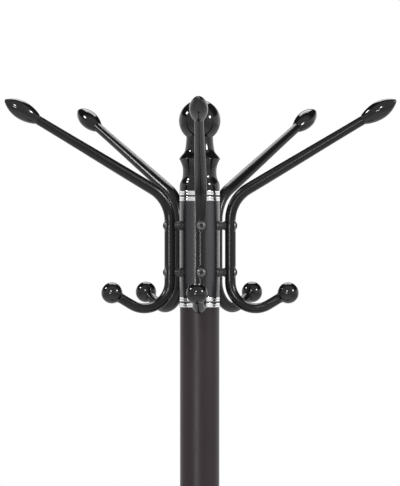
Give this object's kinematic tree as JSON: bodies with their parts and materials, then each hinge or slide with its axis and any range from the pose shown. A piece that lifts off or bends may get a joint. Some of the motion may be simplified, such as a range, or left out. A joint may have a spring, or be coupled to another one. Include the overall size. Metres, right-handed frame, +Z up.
{
  "type": "standing coat rack",
  "caption": "Free-standing black coat rack: slim pole on a weighted round base, a turning head ringed with double coat hooks, chrome collars and a ball finial.",
  "frame": {"origin": "on the floor, at the centre of the round base, under the pole's axis", "axes": "+Z up along the pole; one hook is screwed on along -Y, the rest follow every 72 degrees"},
  "size_m": [0.4, 0.4, 1.75],
  "materials": {
    "pole_paint": "satin black powder coat",
    "hook_paint": "gloss black enamel",
    "screw_black": "black oxide",
    "gloss_black": "gloss black",
    "chrome": "polished",
    "black_plastic": "matt black",
    "acetal": "black",
    "alloy": "die cast",
    "zinc_steel": "zinc plated",
    "brass": "turned",
    "iron": "as cast, primed",
    "rubber": "matt"
  },
  "bodies": {
    "stand": {"pivot_stud": "zinc_steel", "pivot_washer": "zinc_steel", "pivot_lock_nut": "zinc_steel", "pivot_thrust_washer": "acetal", "pole_lower": "pole_paint", "pole_middle": "pole_paint", "pole_upper": "pole_paint", "joint_rings": "chrome", "foot_rings": "chrome", "joint_washers": "black_plastic", "joint_plugs": "alloy", "joint_studs": "zinc_steel", "pole_top_plug": "alloy", "pole_top_ring": "chrome", "base_cover": "pole_paint", "base_ballast": "iron", "base_feet": "rubber", "base_foot_screws": "zinc_steel", "base_bolt": "zinc_steel", "base_bolt_washer": "zinc_steel"},
    "head": {"finial": "gloss_black", "finial_insert": "brass", "finial_stud": "zinc_steel", "finial_ring": "chrome", "finial_washer": "black_plastic", "head_tube": "pole_paint", "head_top_ring": "chrome", "head_top_plug": "alloy", "head_bottom_ring": "chrome", "head_bottom_plug": "alloy", "pivot_bush": "brass", "hook_screws": "screw_black", "hook_spacers": "hook_paint", "hook_rivet_nuts": "screw_black", "hook_front": "hook_paint", "tip_front": "gloss_black", "ball_front": "gloss_black", "hook_front_right": "hook_paint", "tip_front_right": "gloss_black", "ball_front_right": "gloss_black", "hook_back_right": "hook_paint", "tip_back_right": "gloss_black", "ball_back_right": "gloss_black", "hook_back_left": "hook_paint", "tip_back_left": "gloss_black", "ball_back_left": "gloss_black", "hook_front_left": "hook_paint", "tip_front_left": "gloss_black", "ball_front_left": "gloss_black"}
  },
  "joints": [
    {"name": "head_swivel", "type": "hinge", "parent": "stand", "child": "head", "pos_m": [0, 0, 1.5555], "axis": [0, 0, 1], "continuous": true}
  ]
}
